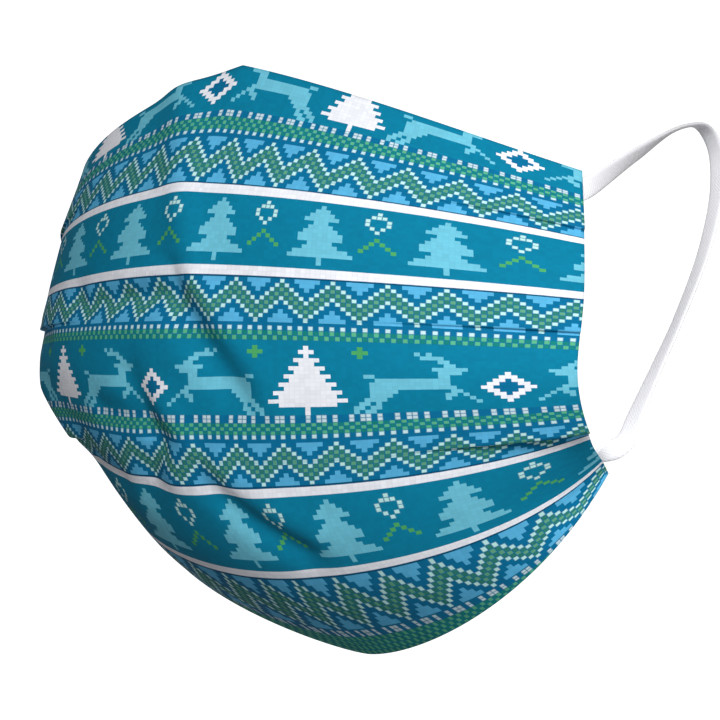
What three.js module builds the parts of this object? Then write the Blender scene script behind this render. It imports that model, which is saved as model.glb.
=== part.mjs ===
// A pleated cloth face mask with two flat elastic ear loops, as it is worn.
//
// Frame, in millimetres: the origin is where the cloth sits on the bridge of the nose, at the middle
// of its top edge. The wearer looks along -Y, +X is the wearer's left and +Z is up.
import * as THREE from 'three';

// One object for each row, with the named columns.
function table(columns, rows) {
  const names = columns.split(' ');
  return rows.map((row) => Object.fromEntries(row.map((value, i) => [names[i], value])));
}

// ---- Driving dimensions ---------------------------------------------------------------------

const WALL = 1.2;            // the cloth, all its layers together
const FOLD_ROLL = 0.7;       // height of the rounded lip that closes a pleat
const GAP = 0.3;             // clearance between an ear loop and the cloth that it is fixed to

const LOOP_WIDTH = 4.5;      // the flat elastic
const LOOP_THICK = 0.9;
const LOOP_TUCK = 7;         // how far each end of a loop reaches behind the cloth

const HALF_WIDTH = 88;       // length of a row from the middle of the face to the side edge
const COLUMNS = 56;          // quads across the whole cloth
const LOOP_STEPS = 64;       // quads along one ear loop

// The cloth's horizontal rows, from the top edge to the bottom edge. Each row is a smooth curve from
// the middle of the face to the side edge, and its mirror image.
//   down                how far down the cloth the row lies, along the middle of the face
//   midY, midZ          where the row crosses the middle of the face
//   sideX, sideY, sideZ where it ends at the side edge
//   turn                how far it has turned back at the side edge, in degrees
//   flat                how long it stays flat across the front, 1 for an even curve
//   fall                how late its height changes on the way out, 1 for a straight slope
const ROWS = table('down midY midZ sideX sideY sideZ turn flat fall', [
  [0,   -1,    0,      77,   21.5, -24.5, 46, 1.32, 1.05],
  [30,  -15,   -27.5,  80.5, 18,   -39.5, 45, 1,    1.5],
  [47,  -17,   -44.5,  82,   16,   -50.5, 45, 1,    1.5],
  [70,  -16.5, -67.5,  82,   14,   -67,   46, 1.08, 2],
  [96,  -9.5,  -93,    75,   26.5, -80,   62, 0.88, 2.2],
  [119, 4.5,   -111.5, 69.5, 37.5, -85.5, 80, 0.78, 2.2],
  [159, 39,    -131,   69,   40,   -88,   90, 0.8,  1.8],
]);

// The pleats, which open downwards and fade out towards the middle of the face.
//   down    how far down the cloth the pleat's lip lies
//   step    how far the lip stands out of the cloth below it, at the side edge
//   starts  share of the way to the side edge at which the pleat begins
//   quads   rows of quads from the lip above down to this one
const PLEATS = table('down step starts quads', [
  [25,  0.9, 0.5,  9],
  [57,  1.2, 0.4,  9],
  [88,  3,   0.55, 9],
  [159, 0,   0,    16],   // the bottom edge, which has no lip
]);

// The soft creases of the worn cloth, each a straight valley in the cloth.
//   across, down      where it starts: share of the way to the side edge, distance down the cloth
//   toAcross, toDown  where it ends
//   width, depth      half its width, and how deep it is
const CREASES = table('across down toAcross toDown width depth', [
  [-0.52, 51, -0.06, 52,  4.5, 1.3],
  [-0.06, 52, 0.18,  72,  5,   1.1],
  [-0.24, 70, -0.16, 82,  5,   1.1],
  [-0.16, 82, -0.32, 98,  5,   1],
  [0,     94, 0.22,  112, 5,   1.1],
]);

// The two ends of an ear loop, on the inner face of the cloth.
//   down    how far down the cloth the elastic crosses the side edge
//   inDown  how far down the cloth its end lies
const LOOP_TOP = { down: 7, inDown: 15 };
const LOOP_LOW = { down: 119, inDown: 121 };

// The free run of the left ear loop, from the top corner of the mask over and behind the ear to the
// bottom corner. twist turns the elastic from flat against the cheek, 0, to flat on the ear, 90.
const LEFT_LOOP = table('x y z twist', [
  [76,   42,   -19.8, 35],
  [74,   59,   -13.8, 80],
  [73,   67.5, -13.6, 90],
  [72.5, 72.5, -18.5, 95],
  [72.5, 73,   -27,   100],
  [73,   68,   -40,   105],
  [73.5, 58,   -55.5, 110],
  [73,   51,   -66,   104],
  [72.5, 44.8, -75.5, 92],
  [71.5, 42,   -81.5, 62],
]);

// ---- Cloth surface --------------------------------------------------------------------------

// The cubic between a and b that leaves a at rate da and reaches b at rate db.
function hermite(a, b, da, db, t) {
  const t2 = t * t, t3 = t2 * t;
  return (2 * t3 - 3 * t2 + 1) * a + (t3 - 2 * t2 + t) * da + (3 * t2 - 2 * t3) * b + (t3 - t2) * db;
}

function smoothstep(from, to, x) {
  const t = THREE.MathUtils.clamp((x - from) / (to - from), 0, 1);
  return t * t * (3 - 2 * t);
}

// The rate at which a column of ROWS changes with down, at row i.
function rowRate(key, i) {
  const above = ROWS[Math.max(i - 1, 0)], below = ROWS[Math.min(i + 1, ROWS.length - 1)];
  return (below[key] - above[key]) / (below.down - above.down);
}

// All the columns of ROWS at any distance down the cloth.
function rowAt(down) {
  let i = 0;
  while (i < ROWS.length - 2 && down > ROWS[i + 1].down) i += 1;
  const a = ROWS[i], b = ROWS[i + 1], span = b.down - a.down, t = (down - a.down) / span;
  const row = {};
  for (const key of Object.keys(a)) {
    row[key] = hermite(a[key], b[key], rowRate(key, i) * span, rowRate(key, i + 1) * span, t);
  }
  return row;
}

// A point of the unpleated outer face. across runs from -1 at the right edge to 1 at the left edge.
function smoothPoint(across, down) {
  const row = rowAt(down), t = Math.abs(across);
  const reach = Math.hypot(row.sideX, row.sideY - row.midY);
  const turn = THREE.MathUtils.degToRad(row.turn);
  const x = hermite(0, row.sideX, reach * row.flat, reach * Math.cos(turn), t);
  const y = hermite(row.midY, row.sideY, 0, reach * Math.sin(turn), t);
  const z = row.midZ + (row.sideZ - row.midZ) * Math.pow(t, row.fall);
  return new THREE.Vector3(Math.sign(across) * x, y, z);
}

// The outward direction there.
function outward(across, down) {
  const e = 0.02, bottom = ROWS[ROWS.length - 1].down;
  const left = smoothPoint(Math.min(across + e, 1), down);
  const right = smoothPoint(Math.max(across - e, -1), down);
  const above = smoothPoint(across, Math.max(down - 1, 0));
  const below = smoothPoint(across, Math.min(down + 1, bottom));
  return left.sub(right).cross(above.sub(below)).normalize();
}

// How far a point of the cloth lies from a crease, measured along the cloth.
function creaseDistance(crease, across, down) {
  const start = new THREE.Vector3(crease.across * HALF_WIDTH, crease.down, 0);
  const end = new THREE.Vector3(crease.toAcross * HALF_WIDTH, crease.toDown, 0);
  const point = new THREE.Vector3(across * HALF_WIDTH, down, 0), nearest = new THREE.Vector3();
  return new THREE.Line3(start, end).closestPointToPoint(point, true, nearest).distanceTo(point);
}

// How deep the creases press the cloth in there. Creases that run into each other aren't added up.
function creaseDepth(across, down) {
  return Math.max(...CREASES.map((crease) => {
    const away = creaseDistance(crease, across, down) / crease.width;
    return crease.depth * Math.exp(-away * away);
  }));
}

// The cloth at a depth under its outer face, pushed out by lift where a pleat's panel flares.
function clothPoint(across, down, lift, depth) {
  const out = lift - creaseDepth(across, down) - depth;
  return smoothPoint(across, down).addScaledVector(outward(across, down), out);
}

// One line of points along each row of quads. A panel starts flush with the face, flares out to its
// lip, and the next panel starts a lip's height below it.
function clothGrid(depth) {
  const grid = [];
  let top = 0;
  for (const pleat of PLEATS) {
    const last = pleat.step === 0;
    const lip = last ? pleat.down : pleat.down - depth;
    for (let j = 0; j <= pleat.quads; j += 1) {
      const t = j / pleat.quads, line = [];
      for (let i = 0; i <= COLUMNS; i += 1) {
        const across = 2 * i / COLUMNS - 1;
        const lift = pleat.step * smoothstep(pleat.starts, 1, Math.abs(across)) * t * t;
        line.push(clothPoint(across, THREE.MathUtils.lerp(top, lip, t), lift, depth));
      }
      grid.push(line);
    }
    top = lip + FOLD_ROLL;
  }
  return grid;
}

// ---- Closed bodies --------------------------------------------------------------------------

// A closed body between two grids of the same size, the first of them outside.
function shellGeometry(outer, inner) {
  const rows = outer.length, columns = outer[0].length, last = columns - 1;
  const positions = [], index = [];
  for (const line of [...outer, ...inner]) for (const p of line) positions.push(p.x, p.y, p.z);
  const id = (side, j, i) => side * rows * columns + j * columns + i;
  const quad = (a, b, c, d) => index.push(a, b, c, a, c, d);
  for (let j = 0; j < rows - 1; j += 1) {
    for (let i = 0; i < columns - 1; i += 1) {
      quad(id(0, j, i), id(0, j + 1, i), id(0, j + 1, i + 1), id(0, j, i + 1));
      quad(id(1, j, i), id(1, j, i + 1), id(1, j + 1, i + 1), id(1, j + 1, i));
    }
    quad(id(0, j, 0), id(1, j, 0), id(1, j + 1, 0), id(0, j + 1, 0));
    quad(id(0, j, last), id(0, j + 1, last), id(1, j + 1, last), id(1, j, last));
  }
  for (let i = 0; i < columns - 1; i += 1) {
    quad(id(0, 0, i), id(0, 0, i + 1), id(1, 0, i + 1), id(1, 0, i));
    quad(id(0, rows - 1, i), id(1, rows - 1, i), id(1, rows - 1, i + 1), id(0, rows - 1, i + 1));
  }
  const geometry = new THREE.BufferGeometry();
  geometry.setAttribute('position', new THREE.Float32BufferAttribute(positions, 3));
  geometry.setIndex(index);
  geometry.computeVertexNormals();
  return geometry;
}

// A flat band along a path, from one corner line of its section to the next and back to the first.
function bandGeometry(path, widths) {
  const positions = [], index = [], steps = path.length - 1;
  path.forEach((p, k) => {
    const tangent = path[Math.min(k + 1, steps)].clone().sub(path[Math.max(k - 1, 0)]).normalize();
    const across = widths[k].clone().addScaledVector(tangent, -widths[k].dot(tangent)).normalize();
    const through = tangent.clone().cross(across);
    for (const [w, t] of [[-1, -1], [1, -1], [1, 1], [-1, 1]]) {
      const corner = p.clone().addScaledVector(across, w * LOOP_WIDTH / 2)
        .addScaledVector(through, t * LOOP_THICK / 2);
      positions.push(corner.x, corner.y, corner.z);
    }
  });
  for (let k = 0; k < steps; k += 1) {
    for (let c = 0; c < 4; c += 1) {
      const a = 4 * k + c, b = 4 * k + (c + 1) % 4;
      index.push(a, b, b + 4, a, b + 4, a + 4);
    }
  }
  const end = 4 * steps;
  index.push(0, 2, 1, 0, 3, 2, end, end + 1, end + 2, end, end + 2, end + 3);
  const geometry = new THREE.BufferGeometry();
  geometry.setAttribute('position', new THREE.Float32BufferAttribute(positions, 3));
  geometry.setIndex(index);
  geometry.computeVertexNormals();
  return geometry;
}

// ---- Ear loops ------------------------------------------------------------------------------

// A point of the elastic where it lies against the inner face, near a corner of the left edge, and
// the direction of its width there. tucked runs from 0 at the side edge to 1 at the elastic's end.
function fixedStation(end, tucked, facing) {
  const across = 1 - tucked * LOOP_TUCK / HALF_WIDTH;
  const down = THREE.MathUtils.lerp(end.down, end.inDown, tucked);
  const point = clothPoint(across, down, 0, WALL + GAP + LOOP_THICK / 2);
  const width = smoothPoint(across, down - 1).sub(smoothPoint(across, down + 1)).normalize();
  return { point, width: width.multiplyScalar(facing) };
}

// The same for the free run, where the width is turned by twist about the elastic's own direction.
function freeStation({ x, y, z, twist }, tangent) {
  const angle = THREE.MathUtils.degToRad(twist);
  const side = new THREE.Vector3(1, 0, 0).addScaledVector(tangent, -tangent.x).normalize();
  const upright = side.clone().cross(tangent);
  const width = upright.multiplyScalar(Math.cos(angle)).addScaledVector(side, Math.sin(angle));
  return { point: new THREE.Vector3(x, y, z), width };
}

function leftLoopStations() {
  const start = [1, 0.5, 0].map((tucked) => fixedStation(LOOP_TOP, tucked, 1));
  const end = [0, 0.5, 1].map((tucked) => fixedStation(LOOP_LOW, tucked, -1));
  const free = LEFT_LOOP.map((station, i) => {
    const before = i > 0 ? LEFT_LOOP[i - 1] : start[2].point;
    const after = i < LEFT_LOOP.length - 1 ? LEFT_LOOP[i + 1] : end[0].point;
    const tangent = new THREE.Vector3(after.x - before.x, after.y - before.y, after.z - before.z);
    return freeStation(station, tangent.normalize());
  });
  return [...start, ...free, ...end];
}

function leftLoopGeometry() {
  const stations = leftLoopStations(), last = stations.length - 1;
  const route = new THREE.CatmullRomCurve3(stations.map((s) => s.point), false, 'centripetal');
  const path = [], widths = [];
  for (let k = 0; k <= LOOP_STEPS; k += 1) {
    const t = route.getUtoTmapping(k / LOOP_STEPS), i = Math.min(Math.floor(t * last), last - 1);
    path.push(route.getPoint(t));
    widths.push(stations[i].width.clone().lerp(stations[i + 1].width, t * last - i));
  }
  return bandGeometry(path, widths);
}

// The mirror image of a closed body in the plane between the wearer's eyes.
function mirrored(geometry) {
  const copy = geometry.clone().applyMatrix4(new THREE.Matrix4().makeScale(-1, 1, 1));
  const index = copy.index.array;
  for (let k = 0; k < index.length; k += 3) [index[k], index[k + 1]] = [index[k + 1], index[k]];
  copy.computeVertexNormals();
  return copy;
}

// ---- Pieces ---------------------------------------------------------------------------------

function named(name, geometry, colour, roughness) {
  const material = new THREE.MeshStandardMaterial({ color: colour, roughness, metalness: 0 });
  const mesh = new THREE.Mesh(geometry, material);
  mesh.name = name;
  return mesh;
}

const mask = new THREE.Group();
const leftLoop = leftLoopGeometry();
mask.add(
  named('mask_body', shellGeometry(clothGrid(0), clothGrid(WALL)), 0x0383a6, 0.85),
  named('ear_loop_left', leftLoop, 0xf1f2f6, 0.8),
  named('ear_loop_right', mirrored(leftLoop), 0xf1f2f6, 0.8),
);

export default mask;
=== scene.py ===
"""A cloth face mask with a winter knitting print, worn on two loops of flat white elastic.

The mask's surface is the same as the part's: rows across the face, pleats and creases. The print is
charted stitch by stitch, and each stitch is one face of the cloth.
"""

import math

import bpy
import numpy as np
from bpy.props import FloatProperty, FloatVectorProperty, PointerProperty
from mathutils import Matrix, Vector


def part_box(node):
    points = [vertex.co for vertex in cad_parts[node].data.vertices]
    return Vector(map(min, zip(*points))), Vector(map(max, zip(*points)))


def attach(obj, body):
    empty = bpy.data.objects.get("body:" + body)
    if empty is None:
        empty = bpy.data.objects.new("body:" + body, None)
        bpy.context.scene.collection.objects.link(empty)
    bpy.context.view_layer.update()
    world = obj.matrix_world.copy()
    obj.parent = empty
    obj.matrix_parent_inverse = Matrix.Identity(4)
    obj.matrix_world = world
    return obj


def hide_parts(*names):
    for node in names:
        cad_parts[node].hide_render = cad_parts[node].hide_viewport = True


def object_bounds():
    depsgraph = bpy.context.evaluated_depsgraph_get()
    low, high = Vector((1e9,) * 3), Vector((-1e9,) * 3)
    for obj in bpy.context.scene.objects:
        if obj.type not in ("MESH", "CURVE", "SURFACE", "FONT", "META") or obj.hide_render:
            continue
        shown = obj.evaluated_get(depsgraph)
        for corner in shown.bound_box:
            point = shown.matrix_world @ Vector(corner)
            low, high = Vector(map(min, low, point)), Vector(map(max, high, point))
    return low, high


bl_info = {
    "name": "Printed Face Mask",
    "version": (1, 0, 0),
    "blender": (4, 5, 0),
    "location": "View3D > Sidebar > Face Mask",
    "description": "Builds a pleated cloth face mask with a knitting print and elastic ear loops",
    "category": "Object",
}

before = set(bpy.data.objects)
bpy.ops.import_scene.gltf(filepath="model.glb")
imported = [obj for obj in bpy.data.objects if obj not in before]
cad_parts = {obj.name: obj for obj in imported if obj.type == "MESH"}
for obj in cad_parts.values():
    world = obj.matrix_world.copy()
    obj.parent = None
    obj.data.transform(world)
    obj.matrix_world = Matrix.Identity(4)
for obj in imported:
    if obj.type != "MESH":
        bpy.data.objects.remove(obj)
CAD_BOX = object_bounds()

MM = 0.001

# ---- Tables ----


def table(columns, rows):
    """A list of rows, each a dictionary with the named columns."""
    names = columns.split()
    return [dict(zip(names, row)) for row in rows]


# The cloth's rows in millimetres and degrees, as in the part's source.
ROWS = table("down mid_y mid_z side_x side_y side_z turn flat fall", [
    (0, -1, 0, 77, 21.5, -24.5, 46, 1.32, 1.05),
    (30, -15, -27.5, 80.5, 18, -39.5, 45, 1, 1.5),
    (47, -17, -44.5, 82, 16, -50.5, 45, 1, 1.5),
    (70, -16.5, -67.5, 82, 14, -67, 46, 1.08, 2),
    (96, -9.5, -93, 75, 26.5, -80, 62, 0.88, 2.2),
    (119, 4.5, -111.5, 69.5, 37.5, -85.5, 80, 0.78, 2.2),
    (159, 39, -131, 69, 40, -88, 90, 0.8, 1.8),
])
BOTTOM = ROWS[-1]["down"]
HALF_WIDTH = 88

# Where each pleat's lip lies, how far it stands out at the side edge, and where it begins.
PLEATS = table("down step starts", [
    (25, 0.9, 0.5),
    (57, 1.2, 0.4),
    (88, 3, 0.55),
    (BOTTOM, 0, 0),
])

# Valleys of the worn cloth: start, end, half the width, depth.
CREASES = table("across down to_across to_down width depth", [
    (-0.52, 51, -0.06, 52, 4.5, 1.3),
    (-0.06, 52, 0.18, 72, 5, 1.1),
    (-0.24, 70, -0.16, 82, 5, 1.1),
    (-0.16, 82, -0.32, 98, 5, 1),
    (0, 94, 0.22, 112, 5, 1.1),
])

# Folds beside those valleys, which are finer than the part's. A negative depth is a ridge.
WRINKLES = table("across down to_across to_down width depth", [
    (-0.19, 0, -0.07, 26, 6.5, -1.5),
    (-0.07, 26, 0, 47, 5.5, -1.4),
    (0.01, 49, 0.21, 73, 4.5, -1.4),
    (-0.45, 50.5, -0.28, 48.5, 3, -0.8),
    (-0.28, 48.5, -0.08, 47.5, 3, -0.9),
    (-0.45, 54.5, -0.28, 53, 3, 0.7),
    (-0.28, 53, -0.06, 52.5, 3, 1),
    (-0.06, 53, 0.12, 73, 4.5, 1.2),
    (-0.12, 77, -0.06, 84, 5, -1.2),
    (-0.06, 84, -0.15, 92, 5, -1),
    (-0.4, 78, -0.22, 80, 3.5, 1),
    (-0.22, 80, -0.18, 85, 4, 1.1),
    (-0.18, 85, -0.27, 92, 4, 0.7),
    (0.03, 91, 0.27, 107, 5, -0.8),
    (0, 97, 0.22, 110, 4, 0.6),
    (-0.88, 76, -0.72, 88, 6, -1.5),
    (-0.62, 94, -0.45, 96, 4, 0.7),
    (-0.95, 59, -0.75, 61, 4, 0.7),
])

# How the two layers of a pleat turn round its lip, from the lip to the top of the next panel.
#   on      share of the way down to the next panel
#   under   how far it runs back up behind the lip, in millimetres
#   out     share of the lip's height that is left
LIP_TURN = table("on under out", [
    (0.3, 0, 0.9),
    (0.5, 0, 0.5),
    (0.6, 0.15, 0.15),
    (0.75, 0.1, 0),
])

# The print's bands from the top edge down: where each starts and ends along the middle of the
# face, its rows of stitches, its chart and the chart's first row that shows.
BANDS = table("start end rows chart first", [
    (0, 10.8, 11, "deer", 6),
    (10.8, 12.4, 2, "dashes", 0),
    (12.4, 15.5, 3, "checks", 0),
    (15.5, 16.5, 1, "dots", 0),
    (16.5, 17.4, 1, "plain", 0),
    (17.4, 28.2, 10, "zigzag", 0),
    (28.2, 28.5, 1, "line", 0),
    (28.5, 30.6, 2, "stripe", 0),
    (30.6, 45.9, 17, "trees", 0),
    (45.9, 48, 2, "stripe", 0),
    (48, 48.4, 1, "line", 0),
    (48.4, 58, 10, "zigzag", 0),
    (58, 58.7, 1, "plain", 0),
    (58.7, 59.7, 1, "dots", 0),
    (59.7, 61.9, 2, "checks", 0),
    (61.9, 63, 1, "ground", 0),
    (63, 78.2, 17, "deer", 0),
    (78.2, 79.9, 2, "dashes", 0),
    (79.9, 82.4, 3, "checks", 0),
    (82.4, 83.4, 1, "dots", 0),
    (83.4, 84.2, 1, "plain", 0),
    (84.2, 93.9, 10, "zigzag", 0),
    (93.9, 94.4, 1, "line", 0),
    (94.4, 96.6, 2, "stripe", 0),
    (96.6, 117, 17, "trees", 0),
    (117, 119.6, 2, "stripe", 0),
    (119.6, 120.3, 1, "line", 0),
    (120.3, 145, 10, "zigzag", 0),
    (145, 145.6, 1, "plain", 0),
    (145.6, 149.3, 2, "dashes", 0),
    (149.3, BOTTOM, 4, "checks", 0),
])

# Below this row the print sags towards the sides and runs off the bottom edge.
SAG_START = 119
SAG_FULL = 147
SAG = 15.5
SLIVER = 0.05

# Which stitch column lies where. middle is the column at the middle of the face, and the others
# are columns per share of the way to the side edge, at the middle and at the edge.
STITCHES = table("down middle left_in left_out right_in right_out", [
    (0, -30.5, 89, 64, 84, 45),
    (16, -31.5, 89, 66, 84, 45),
    (36, -28.8, 81, 58, 68, 66),
    (59, -24.9, 74, 67, 73, 48),
    (72, -24.5, 73, 67, 72, 47),
    (83, -23.5, 71.3, 68, 65, 65),
    (98, -23.1, 70, 55, 54, 90),
    (114, -23.4, 65.5, 47.4, 54, 90),
    (BOTTOM, -23.4, 65, 50, 56, 90),
])
LEFT_COLUMN = 46
RIGHT_COLUMN = -97

# The print's inks. An ink's place in this list is its number on the cloth's faces.
# The inks from the first knitted one on are printed as separate stitches with a gap round each.
INKS = [
    "base", "deep", "white", "ice", "sky", "leaf", "dark_lines_and_edge_shade",
    "moss", "pine", "mint", "sage", "frost", "dot", "dash",
]
FIRST_KNITTED = INKS.index("moss")
INK = {name: number for number, name in enumerate(INKS)}

# ---- Charts ----

REPEAT = 70                 # stitches from one big tree to the next
ZIGZAG = 10                 # stitches from one zigzag peak to the next
BIG_TREE = [1, 3, 1, 5, 3, 7, 5, 9, 7, 11, 9, 13, 11, 15, 11, 1, 1]
SMALL_TREE = [0, 1, 3, 5, 7, 3, 5, 7, 9, 9, 5, 7, 11, 13, 1, 1, 0]
SMALL_TREES = [2, 25, 49]
ORNAMENTS = [13, 37, 60]
CROSS_AWAY = 10             # stitches from the big tree to each green cross
DIAMOND_ROW = 10            # the middle of the white diamond, half way between two big trees
DIAMOND_RINGS = (3, 4)      # how far its two rings of stitches lie from there
ZIGZAG_ROWS = 4             # rows of stitches from a zigzag's upper line to its lower one
TRIANGLE = 2                # how far a triangle reaches to each side of its middle
DEER_START = 9              # the column of each row's first stitch, counted from the tree
DEER = [
    "......................",
    "...........#.#........",
    "............####......",
    "...............##.....",
    "................##....",
    "..............######..",
    "...............####...",
    "..##...........##.....",
    "....#############.....",
    "...##############.....",
    "...###############....",
    "...#####.........##...",
    "...####.........##.#..",
    "..####..........#...#.",
    ".##.#................#",
    "##.##.................",
    "#.##..................",
]
ORNAMENT = [
    "....w....",
    "...www...",
    "..w...w..",
    "..w...w..",
    "...w.w...",
    "....w....",
    ".........",
    "....g....",
    "...g.g...",
    "..g...g..",
    ".g.....g.",
]
DASHES = "#.##.#.."


def stitch_of(chart, row, column, marks):
    """The ink of one stitch of a chart drawn in letters, or None where the chart is empty."""
    if 0 <= row < len(chart) and 0 <= column < len(chart[row]):
        return marks.get(chart[row][column])
    return None


def deer_stitch(column, row):
    side = (column + REPEAT // 2) % REPEAT - REPEAT // 2
    away = abs(side)
    if 2 * away < BIG_TREE[row]:
        return "white"
    if abs(away - CROSS_AWAY) + abs(row - 1) <= 1:
        return "leaf"
    ring = abs(REPEAT // 2 - away) + abs(row - DIAMOND_ROW)
    if ring in DIAMOND_RINGS:
        return "white"
    if ring < min(DIAMOND_RINGS):
        return "deep"
    return stitch_of(DEER, row, away - DEER_START, {"#": "ice"}) or "base"


def trees_stitch(column, row):
    place = column % REPEAT
    for tree in SMALL_TREES:
        away = min(abs(place - tree), REPEAT - abs(place - tree))
        if 2 * away < SMALL_TREE[row]:
            return "ice"
    for middle in ORNAMENTS:
        start = middle - len(ORNAMENT[0]) // 2
        ink = stitch_of(ORNAMENT, row - 1, place - start, {"w": "frost", "g": "leaf"})
        if ink:
            return ink
    return "base"


def zigzag_stitch(column, row):
    place = column % ZIGZAG
    valley = min(place, ZIGZAG - place)
    line = ZIGZAG // 2 - valley
    if row in (line, line + ZIGZAG_ROWS):
        return "frost"
    if line < row < line + ZIGZAG_ROWS:
        return "mint" if (column + row) % 2 else "sage"
    if valley <= TRIANGLE - row or line <= row - (ZIGZAG - 1 - TRIANGLE):
        return "sky"
    return "deep"


def checks_stitch(column, row):
    return "moss" if (column + row) % 2 else "pine"


def dashes_stitch(column, row):
    trunk = row == 0 and column % REPEAT == 0
    return "dash" if trunk or DASHES[column % len(DASHES)] == "#" else "deep"


CHARTS = {
    "deer": deer_stitch,
    "trees": trees_stitch,
    "zigzag": zigzag_stitch,
    "checks": checks_stitch,
    "dashes": dashes_stitch,
    "dots": lambda column, row: "dot" if column % 2 else "deep",
    "plain": lambda column, row: "deep",
    "ground": lambda column, row: "base",
    "line": lambda column, row: "dark_lines_and_edge_shade",
    "stripe": lambda column, row: "white",
}

# ---- Cloth surface ----

# The steps across and down the cloth over which its slope is measured.
SLOPE_ACROSS = 0.02
SLOPE_DOWN = 1

ACROSS_SAMPLES = 801


def hermite(a, b, da, db, t):
    """The cubic between a and b that leaves a at rate da and reaches b at rate db."""
    t2, t3 = t * t, t * t * t
    ends = (2 * t3 - 3 * t2 + 1) * a + (3 * t2 - 2 * t3) * b
    return ends + (t3 - 2 * t2 + t) * da + (t3 - t2) * db


def smoothstep(start, end, x):
    """0 up to start and 1 from end on, with a smooth rise between them."""
    t = np.clip((x - start) / (end - start), 0, 1)
    return t * t * (3 - 2 * t)


def row_rates(values, downs):
    """The rate at which a column of ROWS changes with down, at each row."""
    last = len(values) - 1
    rates = np.empty(len(values))
    for k in range(len(values)):
        a, b = max(k - 1, 0), min(k + 1, last)
        rates[k] = (values[b] - values[a]) / (downs[b] - downs[a])
    return rates


def rows_at(down):
    """All the columns of ROWS at an array of distances down the cloth."""
    downs = np.array([row["down"] for row in ROWS], float)
    i = np.clip(np.searchsorted(downs, down, side="left") - 1, 0, len(ROWS) - 2)
    span = downs[i + 1] - downs[i]
    t = (down - downs[i]) / span
    found = {}
    for key in ROWS[0]:
        values = np.array([row[key] for row in ROWS], float)
        rates = row_rates(values, downs)
        found[key] = hermite(values[i], values[i + 1], rates[i] * span, rates[i + 1] * span, t)
    return found


def smooth_point(across, down):
    """Points of the unpleated outer face. across is -1 at the right edge and 1 at the left one."""
    row = rows_at(np.asarray(down, float))
    t = np.abs(across)
    reach = np.hypot(row["side_x"], row["side_y"] - row["mid_y"])
    turn = np.radians(row["turn"])
    x = hermite(0, row["side_x"], reach * row["flat"], reach * np.cos(turn), t)
    y = hermite(row["mid_y"], row["side_y"], 0, reach * np.sin(turn), t)
    z = row["mid_z"] + (row["side_z"] - row["mid_z"]) * t ** row["fall"]
    return np.stack([np.sign(across) * x, y, z], -1)


def unit(vectors):
    return vectors / np.linalg.norm(vectors, axis=-1, keepdims=True)


def outward(across, down):
    """The direction straight out of the unpleated outer face."""
    left = smooth_point(np.minimum(across + SLOPE_ACROSS, 1), down)
    right = smooth_point(np.maximum(across - SLOPE_ACROSS, -1), down)
    above = smooth_point(across, np.maximum(down - SLOPE_DOWN, 0))
    below = smooth_point(across, np.minimum(down + SLOPE_DOWN, BOTTOM))
    return unit(np.cross(left - right, above - below))


def one_crease(crease, across, down):
    """How deep one crease presses the cloth in."""
    point = np.stack(np.broadcast_arrays(across * HALF_WIDTH, down), -1)
    start = np.array([crease["across"] * HALF_WIDTH, crease["down"]])
    along = np.array([crease["to_across"] * HALF_WIDTH, crease["to_down"]]) - start
    t = np.clip(((point - start) @ along) / (along @ along), 0, 1)
    away = np.linalg.norm(point - start - t[..., None] * along, axis=-1) / crease["width"]
    return crease["depth"] * np.exp(-away * away)


def crease_depth(across, down):
    """How deep the cloth is pressed in. Folds of one kind that meet aren't added up."""
    depths = [one_crease(crease, across, down) for crease in CREASES]
    finer = [one_crease(wrinkle, across, down) for wrinkle in WRINKLES]
    valley = np.maximum(np.max(finer, axis=0), 0)
    ridge = np.minimum(np.min(finer, axis=0), 0)
    return np.max(depths, axis=0) + valley + ridge


def cloth_point(across, down, lift, depth):
    """The cloth at a depth under its outer face, pushed out by lift where a pleat flares."""
    out = lift - crease_depth(across, down) - depth
    return smooth_point(across, down) + outward(across, down) * out[..., None]


def column_at(across, down):
    """The stitch column at places across one row of the cloth."""
    downs = [row["down"] for row in STITCHES]
    at = {key: np.interp(down, downs, [row[key] for row in STITCHES]) for key in STITCHES[0]}
    t = np.abs(across)
    left = hermite(at["middle"], LEFT_COLUMN, at["left_in"], at["left_out"], t)
    right = hermite(at["middle"], RIGHT_COLUMN, -at["right_in"], -at["right_out"], t)
    return np.where(across > 0, left, right)


def across_of(columns, down):
    """The places across one row of the cloth where the stitch columns begin."""
    across = np.linspace(-1, 1, ACROSS_SAMPLES)
    return np.interp(columns, column_at(across, down), across)


# ---- Printed cloth ----

NEAREST = 0.15              # a row of stitches begins no nearer than this to a pleat's lip
PRINTED, PLAIN = 0, 1       # the cloth's materials, by their place in its list


def stitch_columns():
    """The edges of the columns of stitches, from the right edge of the cloth to the left one."""
    inner = np.arange(RIGHT_COLUMN + 0.5, LEFT_COLUMN)
    return np.concatenate([[RIGHT_COLUMN], inner, [LEFT_COLUMN]])


def stitch_rows():
    """Each row of stitches: where it starts, its chart and its row in that chart."""
    rows = []
    for band in BANDS:
        height = (band["end"] - band["start"]) / band["rows"]
        for k in range(band["rows"]):
            rows.append((band["start"] + k * height, band["chart"], band["first"] + k))
    return rows


def cloth_lines(fold_roll):
    """The lines of the mesh from the top edge down: down, the panel's flare there, the pleat it
    belongs to, the share of its lip's turn and the number of the stitch row below it."""
    starts = [start for start, _, _ in stitch_rows()]
    lines = []
    top = 0
    for pleat in PLEATS:
        lip = pleat["down"]
        edges = [start for start in starts if top + NEAREST < start < lip - NEAREST]
        for down in [top, *edges, lip]:
            number = sum(1 for start in starts if start <= down + NEAREST) - 1
            flare = ((down - top) / (lip - top)) ** 2
            lines.append(dict(down=down, flare=flare, pleat=pleat, turn=None, row=number))
        if pleat["step"]:
            for turn in LIP_TURN:
                number = lines[-1]["row"]
                lines.append(dict(down=lip, flare=1, pleat=pleat, turn=turn, row=number))
        top = lip + fold_roll
    for below, line in enumerate(reversed(lines)):
        line["below"] = below
    return lines


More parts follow.
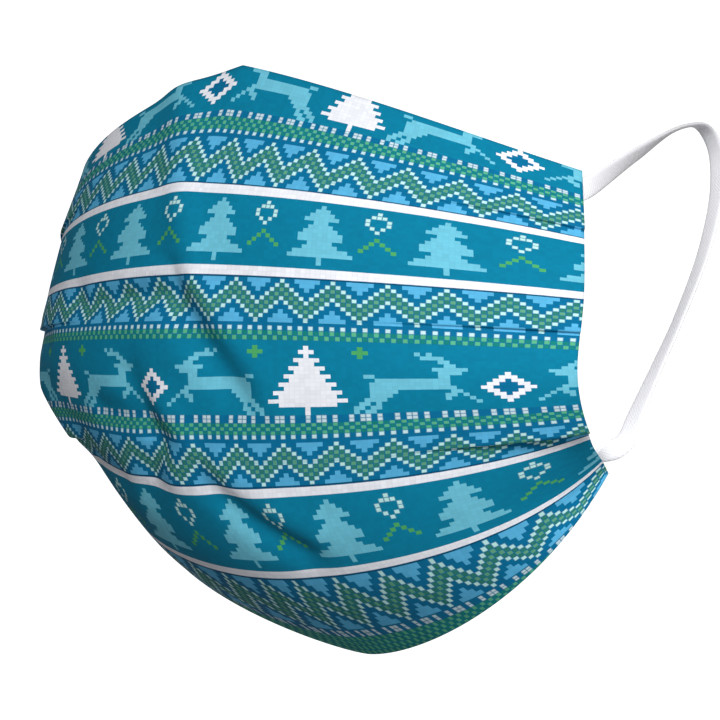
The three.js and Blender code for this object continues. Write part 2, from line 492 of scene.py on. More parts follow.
def sag_at(across, down):
    """How much further down the print's rows lie there than at the middle of the face."""
    share = np.clip((down - SAG_START) / (SAG_FULL - SAG_START), 0, 1)
    return SAG * share * across ** 2


def line_points(line, columns, depth, fold_roll):
    """The points of one line of the outer face, or of the inner face at that depth."""
    pleat, turn, down = line["pleat"], line["turn"], line["down"]
    if turn:
        down = down + fold_roll * turn["on"]
    across = across_of(columns, down)
    rise = smoothstep(pleat["starts"], 1, np.abs(across)) if pleat["step"] else 0 * across
    lift = pleat["step"] * rise * line["flare"]
    at = np.minimum(down + sag_at(across, down), BOTTOM - SLIVER * line["below"])
    if turn and depth == 0:
        at = at - turn["under"] * rise
        lift = lift * turn["out"]
    elif turn:
        lift = lift * (1 - turn["on"])
    return cloth_point(across, at, lift, depth)


def cloth_points(sizes):
    """The mesh's lines and columns, and the points where they cross on its outer and inner face."""
    columns = stitch_columns()
    fold_roll, wall = sizes.fold_roll / MM, sizes.cloth_wall / MM
    lines = cloth_lines(fold_roll)
    outer = np.array([line_points(line, columns, 0, fold_roll) for line in lines])
    inner = np.array([line_points(line, columns, wall, fold_roll) for line in lines])
    return lines, columns, outer, inner


def rim_faces(front, back):
    """The faces that close the cloth along its four edges."""
    rim = []
    for j in range(len(front) - 1):
        rim.append((front[j, 0], back[j, 0], back[j + 1, 0], front[j + 1, 0]))
        rim.append((front[j, -1], front[j + 1, -1], back[j + 1, -1], back[j, -1]))
    for i in range(len(front[0]) - 1):
        rim.append((front[0, i], front[0, i + 1], back[0, i + 1], back[0, i]))
        rim.append((front[-1, i], back[-1, i], back[-1, i + 1], front[-1, i + 1]))
    return rim


def build_cloth(sizes):
    """The closed cloth: vertices, faces, each face's ink and material, columns and line count."""
    lines, columns, outer, inner = cloth_points(sizes)
    rows = stitch_rows()
    numbers = np.floor((columns[:-1] + columns[1:]) / 2 + 0.5).astype(int)
    front = np.arange(len(lines) * len(columns)).reshape(len(lines), len(columns))
    back = front + front.size
    faces, inks, materials = [], [], []
    for j, line in enumerate(lines[:-1]):
        _, chart, chart_row = rows[line["row"]]
        for i, number in enumerate(numbers):
            faces.append((front[j, i], front[j + 1, i], front[j + 1, i + 1], front[j, i + 1]))
            faces.append((back[j, i], back[j, i + 1], back[j + 1, i + 1], back[j + 1, i]))
            inks += [INK[CHARTS[chart](int(number), chart_row)], INK["white"]]
            materials += [PRINTED, PLAIN]
    rim = rim_faces(front, back)
    faces += rim
    # The rim faces along the cloth's edges take the dark ink of the print's fine lines: painted
    # shade standing in for the shade where the edge turns away.
    inks += [INK["dark_lines_and_edge_shade"]] * len(rim)
    materials += [PRINTED] * len(rim)
    vertices = np.concatenate([outer.reshape(-1, 3), inner.reshape(-1, 3)]) * MM
    return vertices, faces, inks, materials, columns, len(lines)


def new_piece(name, vertices, faces):
    mesh = bpy.data.meshes.new(name)
    mesh.from_pydata([tuple(v) for v in vertices], [], [tuple(int(k) for k in f) for f in faces])
    mesh.validate()
    mesh.update()
    piece = bpy.data.objects.new(name, mesh)
    bpy.context.scene.collection.objects.link(piece)
    return piece


def map_points(piece, places):
    """Gives the piece a map named Cloth from one place per vertex."""
    mesh = piece.data
    layer = mesh.uv_layers.new(name="Cloth")
    corner = np.empty(len(mesh.loops), dtype=np.int32)
    mesh.loops.foreach_get("vertex_index", corner)
    layer.data.foreach_set("uv", np.asarray(places, np.float32)[corner].ravel())


# ---- Ear loops ----

LOOP_TOP = {"down": 7, "in_down": 15}
LOOP_LOW = {"down": 119, "in_down": 121}
LOOP_TUCK = 7
LEFT_LOOP = table("x y z twist", [
    (76, 42, -19.8, 35),
    (74, 59, -13.8, 80),
    (73, 67.5, -13.6, 90),
    (72.5, 72.5, -18.5, 95),
    (72.5, 73, -27, 100),
    (73, 68, -40, 105),
    (73.5, 58, -55.5, 110),
    (73, 51, -66, 104),
    (72.5, 44.8, -75.5, 92),
    (71.5, 42, -81.5, 62),
])
LOOP_STEPS = 220            # cross sections along a loop
LOOP_SAMPLES = 2001         # points along which its length is measured
LOOP_GAP = 0.3              # between the elastic and the inner face of the cloth

# The elastic's section: points round it, how flat its sides are, and how its edges thin out.
BAND_SIDES = 24
BAND_FLATNESS = 0.45
BAND_THINNING = 0.5
BAND_EDGE = 8
BAND_MAP = 0.9              # share of its map's width that the elastic takes up


def fixed_station(end, tucked, facing, depth):
    """A point of the elastic against the inner face, and the direction of its width there."""
    across = np.array([1 - tucked * LOOP_TUCK / HALF_WIDTH])
    down = np.array([end["down"] + (end["in_down"] - end["down"]) * tucked])
    point = cloth_point(across, down, np.zeros(1), depth)[0]
    above = smooth_point(across, down - SLOPE_DOWN)
    below = smooth_point(across, down + SLOPE_DOWN)
    return point, unit(above - below)[0] * facing


def free_station(station, tangent):
    """The same for the free run, where the width is turned by twist about its direction."""
    angle = math.radians(station["twist"])
    side = unit(np.array([1, 0, 0]) - tangent * tangent[0])
    upright = np.cross(side, tangent)
    point = np.array([station["x"], station["y"], station["z"]], float)
    return point, upright * math.cos(angle) + side * math.sin(angle)


def loop_stations(depth):
    """All the points that the left loop runs through, with the direction of its width at each."""
    start = [fixed_station(LOOP_TOP, tucked, 1, depth) for tucked in (1, 0.5, 0)]
    end = [fixed_station(LOOP_LOW, tucked, -1, depth) for tucked in (0, 0.5, 1)]
    points = [np.array([s["x"], s["y"], s["z"]], float) for s in LEFT_LOOP]
    around = [start[-1][0], *points, end[0][0]]
    free = [
        free_station(station, unit(around[i + 2] - around[i]))
        for i, station in enumerate(LEFT_LOOP)
    ]
    return [*start, *free, *end]


def spline_point(points, t):
    """A point of the centripetal Catmull-Rom curve through the points, t from 0 to 1."""
    last = len(points) - 1
    i = min(int(t * last), last - 1)
    weight = t * last - i
    p1, p2 = points[i], points[i + 1]
    p0 = points[i - 1] if i > 0 else 2 * points[0] - points[1]
    p3 = points[i + 2] if i + 2 <= last else 2 * points[-1] - points[-2]
    d0, d1, d2 = (np.linalg.norm(b - a) ** 0.5 for a, b in ((p0, p1), (p1, p2), (p2, p3)))
    leave = ((p1 - p0) / d0 - (p2 - p0) / (d0 + d1) + (p2 - p1) / d1) * d1
    reach = ((p2 - p1) / d1 - (p3 - p1) / (d1 + d2) + (p3 - p2) / d2) * d1
    return hermite(p1, p2, leave, reach, weight)


def loop_path(stations):
    """Points evenly along the left loop, the direction of its width at each, and its length."""
    points = [point for point, _ in stations]
    last = len(points) - 1
    shares = np.linspace(0, 1, LOOP_SAMPLES)
    fine = np.array([spline_point(points, t) for t in shares])
    length = np.concatenate([[0], np.cumsum(np.linalg.norm(np.diff(fine, axis=0), axis=1))])
    even = np.interp(np.linspace(0, length[-1], LOOP_STEPS + 1), length, shares)
    path = np.array([spline_point(points, t) for t in even])
    widths = []
    for t in even:
        i = min(int(t * last), last - 1)
        a, b = stations[i][1], stations[i + 1][1]
        widths.append(a + (b - a) * (t * last - i))
    return path, np.array(widths), length[-1]


def band_section(width, thick):
    """The elastic's section: flat sides and round edges."""
    places = []
    for k in range(BAND_SIDES):
        angle = 2 * math.pi * k / BAND_SIDES
        x, y = math.cos(angle), math.sin(angle)
        flat = abs(x) ** BAND_FLATNESS * math.copysign(1, x) * width / 2
        places.append((flat, y * thick / 2 * (1 - abs(x) ** BAND_EDGE * BAND_THINNING)))
    return places


def build_loop(sizes):
    """The left loop: vertices, faces, a place on its map for each vertex, route and length."""
    width, thick = sizes.elastic_width / MM, sizes.elastic_thickness / MM
    stations = loop_stations(sizes.cloth_wall / MM + LOOP_GAP + thick / 2)
    path, widths, length = loop_path(stations)
    tangents = unit(np.gradient(path, axis=0))
    across = unit(widths - tangents * np.sum(widths * tangents, axis=1, keepdims=True))
    through = np.cross(tangents, across)
    section = band_section(width, thick)
    vertices, faces, places = [], [], []
    for k in range(LOOP_STEPS + 1):
        for x, y in section:
            vertices.append(path[k] + across[k] * x + through[k] * y)
            places.append((0.5 + x / width * BAND_MAP, k / LOOP_STEPS))
    for k in range(LOOP_STEPS):
        for s in range(BAND_SIDES):
            a, b = BAND_SIDES * k + s, BAND_SIDES * k + (s + 1) % BAND_SIDES
            faces.append((a, b, b + BAND_SIDES, a + BAND_SIDES))
    end = BAND_SIDES * LOOP_STEPS
    faces.append(tuple(range(BAND_SIDES - 1, -1, -1)))
    faces.append(tuple(range(end, end + BAND_SIDES)))
    return np.array(vertices) * MM, faces, places, path * MM, length * MM


# ---- Materials ----


# The weave of each material: threads across and down its map, how much its shade varies, how
# rough it is, and how strongly the threads show.
WEAVES = {
    "print": dict(across=429.0, down=330.0, patchiness=0.12, roughness=0.85, bump=0.25),
    "inner_face": dict(across=429.0, down=330.0, patchiness=0.06, roughness=0.8, bump=0.3),
    "elastic": dict(across=6.0, down=190.0, patchiness=0.06, roughness=0.8, bump=0.6),
}
THREAD_HEIGHT = 0.0001
SPECULAR = 0.12

# Patches of the weave's shade.
PATCH_SCALE = 26.0
PATCH_DETAIL = 4.0

# The print's stitches: half the width of one as a share of its cell, how sharp its edge is, how
# much of the ground shows in the gaps round flat and knitted ones, and how much their tone varies.
STITCH_HALF = 0.46
STITCH_EDGE = 8.0
FLAT_GAP = 0.06
KNITTED_GAP = 0.81
STITCH_TONE = 0.1


def linear(value):
    return value / 12.92 if value <= 0.04045 else ((value + 0.055) / 1.055) ** 2.4


def shade(rgb):
    """A colour named in 0 to 255 steps of the screen, as the renderer wants it."""
    return tuple(linear(value / 255) for value in rgb)


def new_group(name, inputs, outputs):
    """A shader node group with those sockets, and the nodes that hold its inputs and outputs."""
    group = bpy.data.node_groups.new(name, "ShaderNodeTree")
    for label, kind, default in inputs:
        socket = group.interface.new_socket(label, in_out="INPUT", socket_type=kind)
        if default is not None:
            socket.default_value = default
    for label, kind in outputs:
        group.interface.new_socket(label, in_out="OUTPUT", socket_type=kind)
    return group, group.nodes.new("NodeGroupInput"), group.nodes.new("NodeGroupOutput")


def math_node(tree, operation, a, b=None, clamp=False):
    """The output of a new Math node whose inputs are numbers or sockets."""
    node = tree.nodes.new("ShaderNodeMath")
    node.operation = operation
    node.use_clamp = clamp
    for socket, value in zip(node.inputs, (a, b)):
        if value is None:
            continue
        if isinstance(value, (int, float)):
            socket.default_value = value
        else:
            tree.links.new(value, socket)
    return node.outputs[0]


def inks_group(colours):
    """Ink number in, the ink's colour out."""
    group, ends, out = new_group(
        "Print inks", [("Ink", "NodeSocketFloat", 0.0)], [("Color", "NodeSocketColor")]
    )
    ramp = group.nodes.new("ShaderNodeValToRGB")
    ramp.color_ramp.interpolation = "CONSTANT"
    elements = ramp.color_ramp.elements
    elements.remove(elements[1])
    for number, name in enumerate(INKS):
        element = elements.new(number / len(INKS)) if number else elements[0]
        element.color = (*getattr(colours, name), 1)
    place = math_node(group, "ADD", ends.outputs["Ink"], 0.5)
    place = math_node(group, "DIVIDE", place, len(INKS))
    group.links.new(place, ramp.inputs[0])
    group.links.new(ramp.outputs[0], out.inputs["Color"])
    return group


def weave_group():
    """Crossing threads: a height for the bump, and a shade that varies a little over the cloth."""
    group, ends, out = new_group(
        "Fabric weave",
        [
            ("Vector", "NodeSocketVector", None),
            ("Threads Across", "NodeSocketFloat", 400.0),
            ("Threads Down", "NodeSocketFloat", 400.0),
            ("Patchiness", "NodeSocketFloat", 0.05),
        ],
        [("Height", "NodeSocketFloat"), ("Shade", "NodeSocketFloat")],
    )
    split = group.nodes.new("ShaderNodeSeparateXYZ")
    group.links.new(ends.outputs["Vector"], split.inputs[0])
    turns = 2 * math.pi
    across = math_node(group, "MULTIPLY", split.outputs[0], ends.outputs["Threads Across"])
    across = math_node(group, "SINE", math_node(group, "MULTIPLY", across, turns))
    down = math_node(group, "MULTIPLY", split.outputs[1], ends.outputs["Threads Down"])
    down = math_node(group, "SINE", math_node(group, "MULTIPLY", down, turns))
    crossed = math_node(group, "MULTIPLY", across, down)
    height = math_node(group, "ADD", math_node(group, "MULTIPLY", crossed, 0.5), 0.5)
    group.links.new(height, out.inputs["Height"])
    noise = group.nodes.new("ShaderNodeTexNoise")
    noise.inputs["Scale"].default_value = PATCH_SCALE
    noise.inputs["Detail"].default_value = PATCH_DETAIL
    group.links.new(ends.outputs["Vector"], noise.inputs["Vector"])
    patch = math_node(group, "SUBTRACT", noise.outputs[0], 0.5)
    patch = math_node(group, "MULTIPLY", patch, ends.outputs["Patchiness"])
    group.links.new(math_node(group, "ADD", patch, 1.0), out.inputs["Shade"])
    return group


def stitch_group():
    """The cells of the print: 1 inside a stitch and 0 in the gaps round it, one tone for each."""
    group, ends, out = new_group(
        "Stitch cells",
        [
            ("Vector", "NodeSocketVector", None),
            ("Columns", "NodeSocketFloat", 100.0),
            ("Rows", "NodeSocketFloat", 100.0),
        ],
        [("Cell", "NodeSocketFloat"), ("Tone", "NodeSocketFloat")],
    )
    split = group.nodes.new("ShaderNodeSeparateXYZ")
    group.links.new(ends.outputs["Vector"], split.inputs[0])
    column = math_node(group, "MULTIPLY", split.outputs[0], ends.outputs["Columns"])
    column = math_node(group, "ADD", column, 0.5)
    row = math_node(group, "MULTIPLY", split.outputs[1], ends.outputs["Rows"])
    inside = []
    for place in (column, row):
        off = math_node(group, "SUBTRACT", math_node(group, "FRACT", place), 0.5)
        off = math_node(group, "ABSOLUTE", off)
        edge = math_node(group, "SUBTRACT", STITCH_HALF, off)
        inside.append(math_node(group, "MULTIPLY", edge, STITCH_EDGE, clamp=True))
    group.links.new(math_node(group, "MULTIPLY", *inside), out.inputs["Cell"])
    whole = group.nodes.new("ShaderNodeCombineXYZ")
    group.links.new(math_node(group, "FLOOR", column), whole.inputs[0])
    group.links.new(math_node(group, "FLOOR", row), whole.inputs[1])
    noise = group.nodes.new("ShaderNodeTexWhiteNoise")
    group.links.new(whole.outputs[0], noise.inputs["Vector"])
    group.links.new(noise.outputs["Value"], out.inputs["Tone"])
    return group


def place_group(tree, group, values):
    """A node of that group, with each named input a number or linked to a socket."""
    node = tree.nodes.new("ShaderNodeGroup")
    node.node_tree = group
    for label, value in values.items():
        if isinstance(value, (int, float)):
            node.inputs[label].default_value = value
        else:
            tree.links.new(value, node.inputs[label])
    return node


def new_material(name):
    """A new material, its nodes and its Principled BSDF."""
    material = bpy.data.materials.new(name)
    material.use_nodes = True
    return material, material.node_tree, material.node_tree.nodes["Principled BSDF"]


def add_weave(tree, surface, look):
    """Gives the surface the weave's roughness and threads, and returns the shade of the cloth."""
    fabric = bpy.data.node_groups.get("Fabric weave") or weave_group()
    threads = {"Threads Across": look["across"], "Threads Down": look["down"]}
    values = {"Vector": cloth_uv(tree), **threads, "Patchiness": look["patchiness"]}
    cloth = place_group(tree, fabric, values)
    surface.inputs["Roughness"].default_value = look["roughness"]
    surface.inputs["Specular IOR Level"].default_value = SPECULAR
    bump = tree.nodes.new("ShaderNodeBump")
    bump.inputs["Strength"].default_value = look["bump"]
    bump.inputs["Distance"].default_value = THREAD_HEIGHT
    tree.links.new(cloth.outputs["Height"], bump.inputs["Height"])
    tree.links.new(bump.outputs[0], surface.inputs["Normal"])
    return cloth.outputs["Shade"]


def tinted(tree, colour, factor):
    """The colour times a factor close to one."""
    mix = tree.nodes.new("ShaderNodeVectorMath")
    mix.operation = "SCALE"
    if isinstance(colour, tuple):
        mix.inputs[0].default_value = colour
    else:
        tree.links.new(colour, mix.inputs[0])
    tree.links.new(factor, mix.inputs["Scale"])
    return mix.outputs[0]


def cloth_uv(tree):
    """The piece's own map."""
    node = tree.nodes.new("ShaderNodeUVMap")
    node.uv_map = "Cloth"
    return node.outputs[0]


def printed_material(colours, row_count):
    """The print: each face's ink, the gaps between its stitches, and the weave."""
    material, tree, surface = new_material("printed_cloth_look")
    ink = tree.nodes.new("ShaderNodeAttribute")
    ink.attribute_name = "ink"
    inks = place_group(tree, inks_group(colours), {"Ink": ink.outputs["Fac"]})
    counts = {"Columns": LEFT_COLUMN - RIGHT_COLUMN, "Rows": row_count}
    cells = place_group(tree, stitch_group(), {"Vector": cloth_uv(tree), **counts})
    knitted = math_node(tree, "GREATER_THAN", ink.outputs["Fac"], FIRST_KNITTED - 0.5)
    open_share = math_node(tree, "MULTIPLY", knitted, KNITTED_GAP - FLAT_GAP)
    open_share = math_node(tree, "ADD", open_share, FLAT_GAP)
    gap = math_node(tree, "SUBTRACT", 1.0, cells.outputs["Cell"])
    gap = math_node(tree, "MULTIPLY", gap, open_share)
    ground = tree.nodes.new("ShaderNodeMix")
    ground.data_type = "RGBA"
    ground.inputs["B"].default_value = (*colours.deep, 1)
    tree.links.new(gap, ground.inputs["Factor"])
    tree.links.new(inks.outputs["Color"], ground.inputs["A"])
    tone = math_node(tree, "SUBTRACT", cells.outputs["Tone"], 0.5)
    tone = math_node(tree, "MULTIPLY", tone, STITCH_TONE)
    tone = math_node(tree, "ADD", add_weave(tree, surface, WEAVES["print"]), tone)
    colour = tinted(tree, ground.outputs["Result"], tone)
    tree.links.new(colour, surface.inputs["Base Color"])
    return material


def plain_material(name, colour, look):
    """One colour, with the weave."""
    material, tree, surface = new_material(name)
    tone = add_weave(tree, surface, look)
    tree.links.new(tinted(tree, colour, tone), surface.inputs["Base Color"])
    return material


# ---- Properties ----


class FaceMaskSizes(bpy.types.PropertyGroup):
    """Sizes of the cloth and the elastic."""

    cloth_wall: FloatProperty(
        name="Cloth Thickness", description="Thickness of the cloth", default=0.0012,
        min=0.0005, max=0.003, precision=4, unit="LENGTH",
    )
    fold_roll: FloatProperty(
        name="Fold Roll", description="Cloth taken up by the turn of a pleat's lip",
        default=0.0007, min=0.0003, max=0.002, precision=4, unit="LENGTH",
    )
    elastic_width: FloatProperty(
        name="Elastic Width", description="Width of the ear loops' elastic", default=0.0045,
        min=0.002, max=0.01, precision=4, unit="LENGTH",
    )
    elastic_thickness: FloatProperty(
        name="Elastic Thickness", description="Thickness of the ear loops' elastic",
        default=0.0009, min=0.0005, max=0.002, precision=4, unit="LENGTH",
    )


def ink_property(label, description, rgb):
    """A colour of the mask, with its default in 0 to 255 steps of the screen."""
    return FloatVectorProperty(
        name=label, description=description, subtype="COLOR", size=3, default=shade(rgb),
        min=0, max=1,
    )


class FaceMaskColours(bpy.types.PropertyGroup):
    """Colours of the print's inks and of the elastic."""

    base: ink_property("Base", "Ground of the picture bands", (3, 124, 158))
    deep: ink_property("Deep", "Ground of the narrow bands", (2, 109, 153))
    white: ink_property("White", "Stripes, big trees and dashes", (240, 242, 249))
    ice: ink_property("Ice", "Small trees and deer", (110, 194, 217))
    sky: ink_property("Sky", "Triangles by the zigzags", (88, 178, 222))
    moss: ink_property("Moss", "Light checks", (90, 178, 135))
    pine: ink_property("Pine", "Dark checks", (20, 128, 120))
    leaf: ink_property("Leaf", "Green crosses and chevrons", (76, 167, 98))
    mint: ink_property("Mint", "Light stitches inside the zigzags", (96, 163, 128))
    sage: ink_property("Sage", "Dark stitches inside the zigzags", (46, 124, 108))
    frost: ink_property("Frost", "Lines of the zigzags and ornaments", (190, 234, 232))
    dot: ink_property("Dot", "Rows of single stitches", (196, 229, 235))
    dash: ink_property("Dash", "Rows of short dashes", (198, 222, 230))
    # The dark ink of the print's fine lines, also used as painted shade on the rim along the
    # cloth's edges.
    dark_lines_and_edge_shade: ink_property("Hem", "Edge of the cloth and fine dark lines", (0, 80, 118))
    elastic: ink_property("Elastic", "Ear loops", (244, 244, 248))
    inside: ink_property("Inside", "Inner face of the cloth", (240, 241, 245))


class FaceMaskStudio(bpy.types.PropertyGroup):
    """The camera and the lights."""

    azimuth: FloatProperty(
        name="Camera Azimuth", description="Angle of the camera round the mask",
        default=math.radians(43.34), subtype="ANGLE",
    )
    elevation: FloatProperty(
        name="Camera Elevation", description="Angle of the camera above the horizon",
        default=math.radians(0.7), subtype="ANGLE",
    )
    distance: FloatProperty(
        name="Camera Distance", description="Distance from the camera to its aim",
        default=0.7408, min=0.2, max=5, unit="LENGTH",
    )
    focal: FloatProperty(
        name="Focal Length", description="Focal length of the camera in millimetres",
        default=172.05, min=20, max=300, unit="CAMERA",
    )
    key: FloatProperty(
        name="Key Light", description="Power of the main light in watts", default=15.4, min=0,
        unit="POWER",
    )
    side: FloatProperty(
        name="Side Light", description="Power of the side light in watts", default=3, min=0,
        unit="POWER",
    )
    fill: FloatProperty(
        name="Fill", description="Strength of the light from all round", default=0.1, min=0,
        max=1, subtype="FACTOR",
    )
    paper: FloatVectorProperty(
        name="Backdrop", description="Colour of the floor and the backdrop", subtype="COLOR",
        size=3, default=(0.7, 0.7, 0.7), min=0, max=1,
    )


# ---- Operators ----

# Where the camera aims, from the middle of the mask: to its right, towards it and up.
AIM_RIGHT = 0.0052
AIM_BACK = 0.0293
AIM_UP = 0.0015

# How far a piece's box may lie from the box of the solid that it replaces.
LOOSEST_FIT = 0.004

# The lights: the setting of each one's power, and its place round the mask in degrees and metres.
LIGHTS = table("name power azimuth elevation distance", [
    ("side_light", "side", 88, -12, 1.3),
    ("key_light", "key", 43, 20, 1.25),
])
LIGHT_SIZE = 0.5

# The backdrop, in metres: a floor under the mask that curves up into a wall behind it.
FLOOR_DEPTH = 4
FLOOR_WIDTH = 10
FLOOR_DROP = 1.4
WALL_HEIGHT = 5
WALL_CURVE = 0.7
CURVE_STEPS = 24
NEARLY = 0.1

# The wall glows behind the mask: how strongly, where the glow ends, and how fast it fades.
GLOW = 0.95
GLOW_REACH = 1.3
GLOW_FADE = 1.5


def assign(piece, *materials):
    piece.data.materials.clear()
    for material in materials:
        piece.data.materials.append(material)


def smooth_faces(piece):
    piece.data.polygons.foreach_set("use_smooth", [True] * len(piece.data.polygons))
    piece.data.update()


def view_axes(azimuth):
    """The directions back to the camera and to the right of its picture, at eye level."""
    back = Vector((math.sin(azimuth), -math.cos(azimuth), 0))
    right = Vector((math.cos(azimuth), math.sin(azimuth), 0))
    return back, right


def direction(azimuth, elevation):
    """The direction from the mask to a place round it, in degrees."""
    a, e = math.radians(azimuth), math.radians(elevation)
    return Vector((math.sin(a) * math.cos(e), -math.cos(a) * math.cos(e), math.sin(e)))


class MASK_OT_camera(bpy.types.Operator):
    """Set up the camera"""

    bl_idname = "face_mask.camera"
    bl_label = "Camera"

    def execute(self, context):
        studio = context.scene.face_mask_studio
        lo, hi = CAD_BOX
        back, right = view_axes(studio.azimuth)
        aim = (lo + hi) / 2 + right * AIM_RIGHT + back * AIM_BACK + Vector((0, 0, AIM_UP))
        data = bpy.data.cameras.new("camera")
        data.lens = studio.focal
        data.clip_start = 0.01
        data.clip_end = 50
        camera = bpy.data.objects.new("camera", data)
        context.scene.collection.objects.link(camera)
        to_camera = direction(math.degrees(studio.azimuth), math.degrees(studio.elevation))
        camera.location = aim + to_camera * studio.distance
        camera.rotation_euler = (-to_camera).to_track_quat("-Z", "Y").to_euler()
        context.scene.camera = camera
        return {"FINISHED"}


class MASK_OT_ear_loops(bpy.types.Operator):
    """Make the two ear loops of flat elastic"""

    bl_idname = "face_mask.ear_loops"
    bl_label = "Ear Loops"

    def execute(self, context):
        scene = context.scene
        sizes, colours = scene.face_mask_sizes, scene.face_mask_colours
        elastic = tuple(colours.elastic)
        material = plain_material("white_elastic_look", elastic, WEAVES["elastic"])
        vertices, faces, places, path, length = build_loop(sizes)
        for side, node in ((1, "ear_loop_left"), (-1, "ear_loop_right")):
            turned = [face[::side] for face in faces]
            flip = np.array([side, 1, 1])
            piece = new_piece("elastic_" + node, vertices * flip, turned)
            map_points(piece, places)
            smooth_faces(piece)
            assign(piece, material)
            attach(piece, "root")
            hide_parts(node)
            check_against(piece, node)
        return {"FINISHED"}


def check_against(piece, node):
    """Stops the script where a piece doesn't fill the space of the solid that it replaces."""
    lo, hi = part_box(node)
    corners = np.empty(3 * len(piece.data.vertices))
    piece.data.vertices.foreach_get("co", corners)
    corners = corners.reshape(-1, 3)
    apart = max(
        np.abs(corners.min(axis=0) - np.array(lo)).max(),
        np.abs(corners.max(axis=0) - np.array(hi)).max(),
    )
    if apart > LOOSEST_FIT:
        raise RuntimeError(f"{piece.name} is {apart / MM:.1f} mm off the solid {node}")


class MASK_OT_cloth(bpy.types.Operator):
    """Make the pleated cloth with its print"""

    bl_idname = "face_mask.cloth"
    bl_label = "Printed Cloth"

    def execute(self, context):
        scene = context.scene
        sizes, colours = scene.face_mask_sizes, scene.face_mask_colours
        vertices, faces, inks, materials, columns, line_count = build_cloth(sizes)
        piece = new_piece("printed_mask", vertices, faces)
        mesh = piece.data
        if len(mesh.polygons) != len(faces):
            raise RuntimeError("printed_mask lost faces")
        mesh.attributes.new("ink", "FLOAT", "FACE").data.foreach_set("value", inks)
        mesh.polygons.foreach_set("material_index", materials)
        u = (columns - RIGHT_COLUMN) / (LEFT_COLUMN - RIGHT_COLUMN)
        v = 1 - np.arange(line_count) / (line_count - 1)
        places = np.stack(np.meshgrid(u, v), -1).reshape(-1, 2)
        map_points(piece, np.concatenate([places, places]))
        smooth_faces(piece)
        printed = printed_material(colours, line_count - 1)
        inside = tuple(colours.inside)
        assign(piece, printed, plain_material("inner_face_look", inside, WEAVES["inner_face"]))
        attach(piece, "root")
        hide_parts("mask_body")
        check_against(piece, "mask_body")
        return {"FINISHED"}


def add_light(settings, aim, power):
    """A round soft light that points at aim."""
    data = bpy.data.lights.new(settings["name"], "AREA")
    data.shape = "DISK"
    data.size = LIGHT_SIZE
    data.energy = power
    light = bpy.data.objects.new(settings["name"], data)
    bpy.context.scene.collection.objects.link(light)
    to_light = direction(settings["azimuth"], settings["elevation"])
    light.location = aim + to_light * settings["distance"]
    light.rotation_euler = (-to_light).to_track_quat("-Z", "Y").to_euler()


class MASK_OT_stage(bpy.types.Operator):
    """Make the pale floor with its curved backdrop, and the lights"""

    bl_idname = "face_mask.stage"
    bl_label = "Stage and Lights"

    def execute(self, context):
        scene = context.scene
        studio = scene.face_mask_studio
        lo, hi = CAD_BOX
        centre = (lo + hi) / 2
        make_backdrop(centre, studio)
        for light in LIGHTS:
            add_light(light, centre, getattr(studio, light["power"]))
        world = bpy.data.worlds.new("studio")
        world.use_nodes = True
        background = world.node_tree.nodes["Background"]
        background.inputs["Color"].default_value = (1, 1, 1, 1)
        background.inputs["Strength"].default_value = studio.fill
        scene.world = world
        scene.view_settings.view_transform = "Standard"
        return {"FINISHED"}


def select_edges(piece, wanted):
    """Selects the edges whose ends both pass the test, and opens the piece for editing."""
    for edge in piece.data.edges:
        edge.select = all(wanted(piece.data.vertices[k].co) for k in edge.vertices)
    bpy.ops.object.mode_set(mode="EDIT")


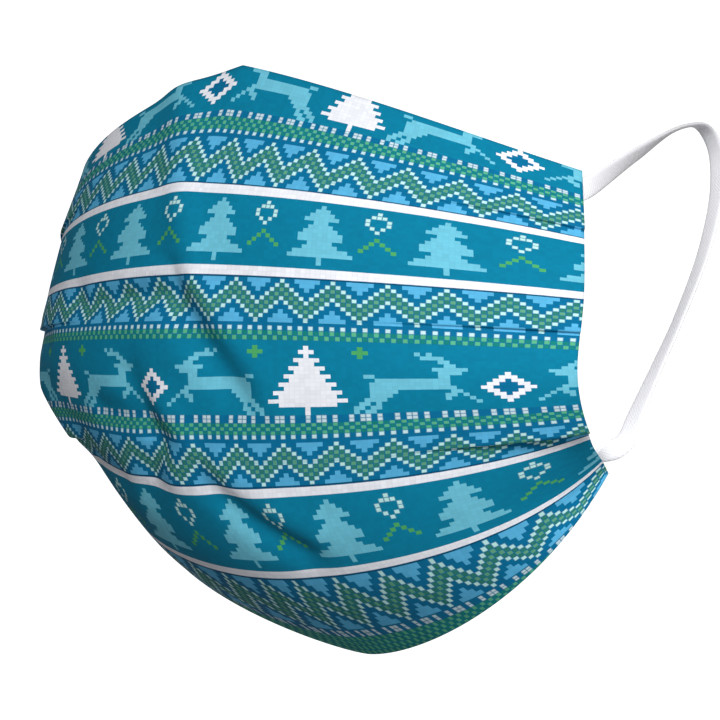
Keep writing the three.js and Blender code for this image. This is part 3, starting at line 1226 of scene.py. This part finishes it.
def make_backdrop(centre, studio):
    """A floor whose far edge turns up into a wall behind the mask."""
    far = FLOOR_DEPTH / 2
    bpy.ops.object.select_all(action="DESELECT")
    bpy.ops.mesh.primitive_plane_add(size=FLOOR_DEPTH, location=(0, 0, 0))
    floor = bpy.context.object
    floor.name = "backdrop"
    bpy.ops.object.mode_set(mode="EDIT")
    bpy.ops.mesh.select_mode(type="EDGE")
    bpy.ops.mesh.select_all(action="DESELECT")
    bpy.ops.object.mode_set(mode="OBJECT")
    select_edges(floor, lambda end: end.y > far - NEARLY)
    bpy.ops.mesh.extrude_region_move(TRANSFORM_OT_translate={"value": (0, 0, WALL_HEIGHT)})
    bpy.ops.object.mode_set(mode="OBJECT")
    select_edges(floor, lambda end: end.y > far - NEARLY and end.z < NEARLY)
    bpy.ops.mesh.bevel(offset=WALL_CURVE, segments=CURVE_STEPS, affect="EDGES")
    bpy.ops.object.mode_set(mode="OBJECT")
    bpy.ops.object.shade_smooth()
    floor.rotation_euler = (0, 0, studio.azimuth)
    floor.location = (centre.x, centre.y, centre.z - FLOOR_DROP)
    floor.scale = (FLOOR_WIDTH / FLOOR_DEPTH, 1, 1)
    bpy.ops.object.transform_apply(location=True, rotation=True, scale=True)
    material, tree, surface = new_material("backdrop_look")
    surface.inputs["Base Color"].default_value = (*studio.paper, 1)
    surface.inputs["Roughness"].default_value = 0.9
    place = tree.nodes.new("ShaderNodeTexCoord")
    reach = tree.nodes.new("ShaderNodeVectorMath")
    reach.operation = "DISTANCE"
    back, _ = view_axes(studio.azimuth)
    reach.inputs[1].default_value = centre - back * far
    tree.links.new(place.outputs["Object"], reach.inputs[0])
    glow = math_node(tree, "SUBTRACT", GLOW_REACH, reach.outputs["Value"])
    glow = math_node(tree, "MULTIPLY", glow, GLOW_FADE, clamp=True)
    tree.links.new(glow, surface.inputs["Emission Color"])
    surface.inputs["Emission Strength"].default_value = GLOW
    assign(floor, material)
    bpy.ops.object.select_all(action="DESELECT")


class MASK_PT_panel(bpy.types.Panel):
    """Sizes, colours and steps of the face mask"""

    bl_idname = "MASK_PT_panel"
    bl_label = "Face Mask"
    bl_space_type = "VIEW_3D"
    bl_region_type = "UI"
    bl_category = "Face Mask"

    def draw(self, context):
        layout = self.layout
        for group in GROUPS:
            settings = getattr(context.scene, group)
            box = layout.box()
            for name in settings.__annotations__:
                box.prop(settings, name)
        for step in STEPS:
            layout.operator(step.bl_idname)


GROUPS = {
    "face_mask_sizes": FaceMaskSizes,
    "face_mask_colours": FaceMaskColours,
    "face_mask_studio": FaceMaskStudio,
}
STEPS = [MASK_OT_camera, MASK_OT_ear_loops, MASK_OT_cloth, MASK_OT_stage]
CLASSES = [*GROUPS.values(), *STEPS, MASK_PT_panel]


def register():
    for each in CLASSES:
        bpy.utils.register_class(each)
    for name, group in GROUPS.items():
        setattr(bpy.types.Scene, name, PointerProperty(type=group))


def unregister():
    for name in GROUPS:
        delattr(bpy.types.Scene, name)
    for each in reversed(CLASSES):
        bpy.utils.unregister_class(each)


def main():
    register()
    bpy.ops.face_mask.camera()
    bpy.ops.face_mask.ear_loops()
    bpy.ops.face_mask.cloth()
    bpy.ops.face_mask.stage()


if __name__ == "__main__":
    main()
